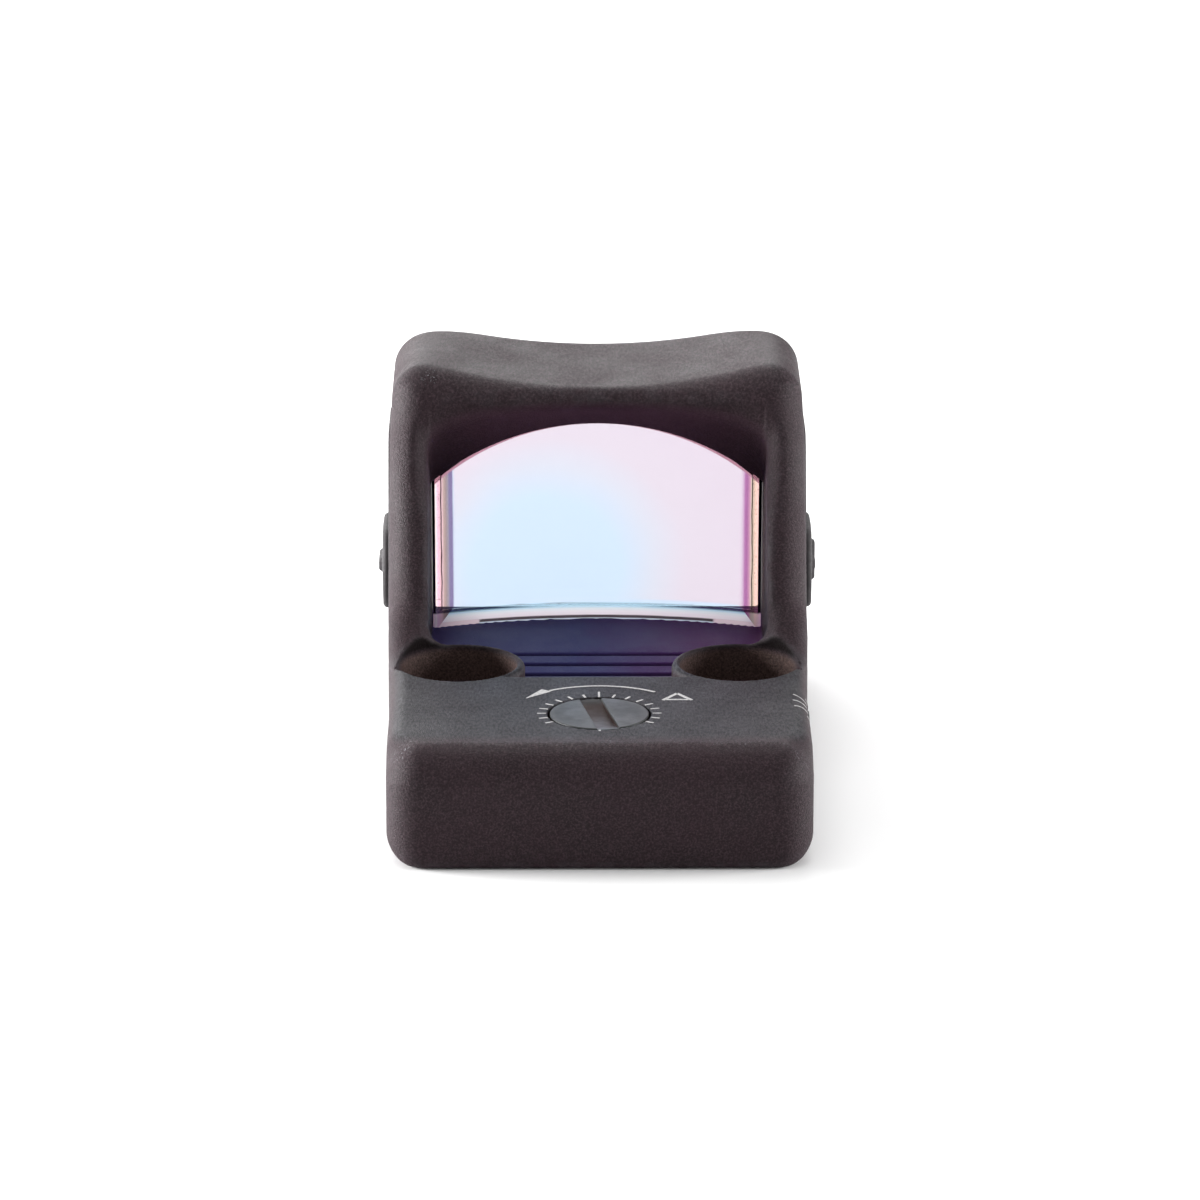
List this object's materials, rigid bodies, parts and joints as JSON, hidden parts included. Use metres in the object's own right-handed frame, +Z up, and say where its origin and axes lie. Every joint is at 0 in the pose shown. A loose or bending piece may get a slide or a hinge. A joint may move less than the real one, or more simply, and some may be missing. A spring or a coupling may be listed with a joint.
{
  "type": "red dot finder",
  "caption": "Open mini reflex sight with a scooped hood, coated lens, slotted adjusters, side buttons and a coin cell under a flat base.",
  "frame": {"origin": "middle of the flat underside", "axes": "+Z up, +Y towards the target, +X to the right of the person looking through it"},
  "size_m": [0.0304, 0.045, 0.025],
  "materials": {
    "anodised_housing": "matt black anodised",
    "lens_glass": "polished, dichroic coating",
    "adhesive": "cured adhesive bead",
    "window_glass": "polished",
    "black_steel": "blackened, turned",
    "steel": "bright",
    "brass": "machined",
    "rubber": "matt moulded rubber",
    "gold_contact": "gold plated",
    "board": "solder mask",
    "black_plastic": "moulded",
    "led_lens": "clear epoxy",
    "battery_can": "nickel plated"
  },
  "bodies": {
    "body": {"housing": "anodised_housing", "lens": "lens_glass", "lens_seal": "adhesive", "emitter_window": "window_glass", "elevation_click_spring": "steel", "windage_click_spring": "steel", "elevation_spring": "steel", "windage_spring": "steel", "left_side_plate": "anodised_housing", "right_side_plate": "anodised_housing", "left_switch": "steel", "right_switch": "steel", "circuit_board": "board", "driver_chip": "black_plastic", "battery": "battery_can", "battery_contact_negative": "gold_contact", "battery_contact_positive": "gold_contact", "bottom_plate": "steel", "base_gasket": "rubber", "plate_screw_1": "black_steel", "plate_screw_2": "black_steel", "plate_screw_3": "black_steel", "plate_screw_4": "black_steel"},
    "elevation_dial": {"elevation_screw": "black_steel", "elevation_o_ring": "rubber", "elevation_click_wheel": "steel"},
    "windage_dial": {"windage_screw": "black_steel", "windage_o_ring": "rubber", "windage_click_wheel": "steel"},
    "elevation_slider": {"elevation_nut": "brass"},
    "windage_slider": {"windage_carriage": "brass"},
    "emitter": {"emitter_block": "black_plastic", "led": "led_lens"},
    "left_button": {"left_button": "rubber"},
    "right_button": {"right_button": "rubber"}
  },
  "joints": [
    {"name": "elevation_nut_travel", "type": "slide", "parent": "body", "child": "elevation_slider", "axis": [0, 0, 1], "range_m": [-0.0005, 0.0005], "deforming": ["elevation_spring"]},
    {"name": "elevation_turn", "type": "hinge", "parent": "body", "child": "elevation_dial", "pos_m": [0, -0.0141, 0.005], "axis": [0, 0, 1], "range_deg": [-1130, 1130]},
    {"name": "windage_carriage_travel", "type": "slide", "parent": "body", "child": "windage_slider", "axis": [1, 0, 0], "range_m": [-0.0005, 0.0005], "deforming": ["windage_spring"]},
    {"name": "windage_turn", "type": "hinge", "parent": "body", "child": "windage_dial", "pos_m": [0.01, -0.0113, 0.0042], "axis": [1, 0, 0], "range_deg": [-1130, 1130]},
    {"name": "emitter_lift", "type": "slide", "parent": "windage_slider", "child": "emitter", "axis": [0, 0, 1], "range_m": [-0.00051, 0.00051]},
    {"name": "left_button_press", "type": "slide", "parent": "body", "child": "left_button", "axis": [1, 0, 0], "range_m": [0, 0.0004], "stiffness_N_per_m": 3000},
    {"name": "right_button_press", "type": "slide", "parent": "body", "child": "right_button", "axis": [-1, 0, 0], "range_m": [0, 0.0004], "stiffness_N_per_m": 3000}
  ],
  "couplings": [
    {"joint": "elevation_turn", "follows": "elevation_nut_travel", "rad_per_m": 39270},
    {"joint": "emitter_lift", "follows": "elevation_nut_travel", "ratio": 1},
    {"joint": "windage_turn", "follows": "windage_carriage_travel", "rad_per_m": 39270}
  ]
}
